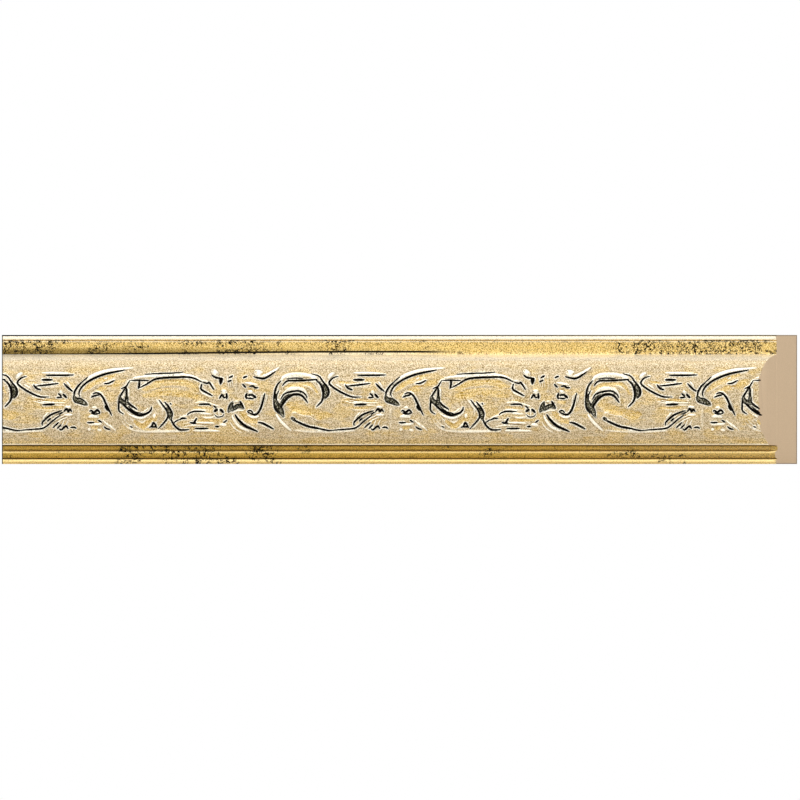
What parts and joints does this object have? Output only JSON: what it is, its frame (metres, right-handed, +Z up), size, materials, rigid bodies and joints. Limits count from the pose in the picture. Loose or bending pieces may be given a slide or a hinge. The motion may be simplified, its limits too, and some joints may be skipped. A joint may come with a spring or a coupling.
{
  "type": "decorative moulding",
  "caption": "Straight length of wall or frame moulding with a running acanthus scroll on a raised crown between plain stepped rims, one end square and one mitred.",
  "frame": {"origin": "centre of the flat back, halfway along the back and halfway up the face", "axes": "+X along the strip towards the mitred end, +Y out of the back into the wall, +Z up; the decorated face looks along -Y"},
  "size_m": [0.376, 0.0191, 0.061],
  "materials": {
    "gilt_finish": "champagne and gold foil with dark cracks and patina over a beige foamed plastic core, which shows bare on the back and the cut ends"
  },
  "bodies": {
    "root": {"moulding": "gilt_finish"}
  },
  "joints": []
}
